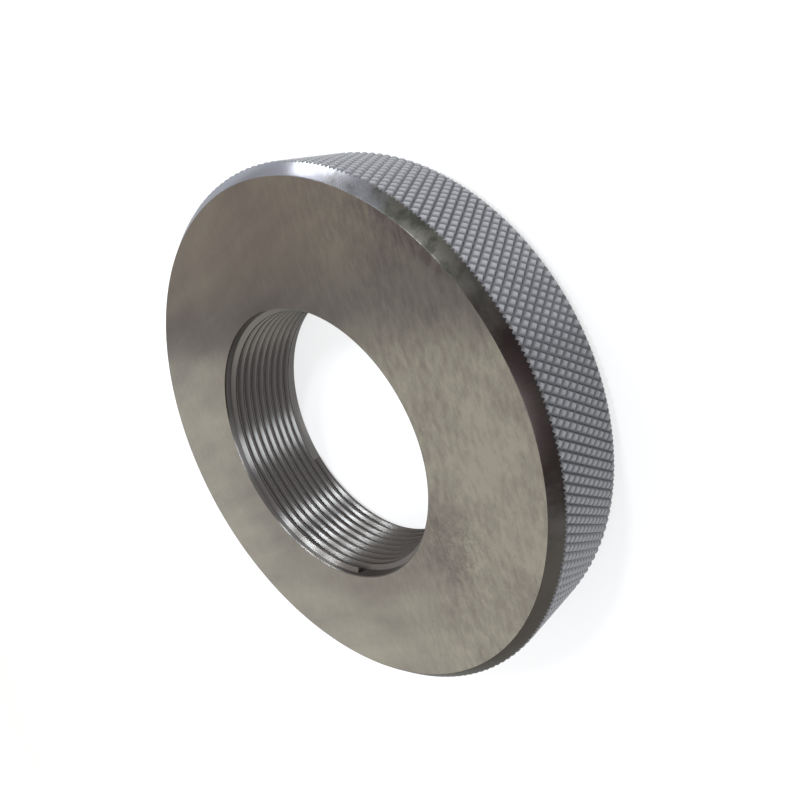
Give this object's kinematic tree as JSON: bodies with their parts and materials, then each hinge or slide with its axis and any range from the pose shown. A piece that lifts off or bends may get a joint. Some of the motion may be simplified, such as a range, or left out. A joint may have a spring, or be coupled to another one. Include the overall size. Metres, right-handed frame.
{
  "type": "thread ring gauge",
  "caption": "Solid thread ring gauge: a thick ground steel ring with a fine right-hand thread in its bore, chamfered edges and a diamond-knurled rim.",
  "frame": {"origin": "centre of the bore on the back face, which the ring rests on", "axes": "+Z along the axis of the bore, towards the front face; -Y points at the place where the thread starts under the front face"},
  "size_m": [0.112, 0.112, 0.0215],
  "materials": {
    "ground_steel": "ground and hardened, lightly stained"
  },
  "bodies": {
    "root": {"gauge_ring": "ground_steel"}
  },
  "joints": []
}
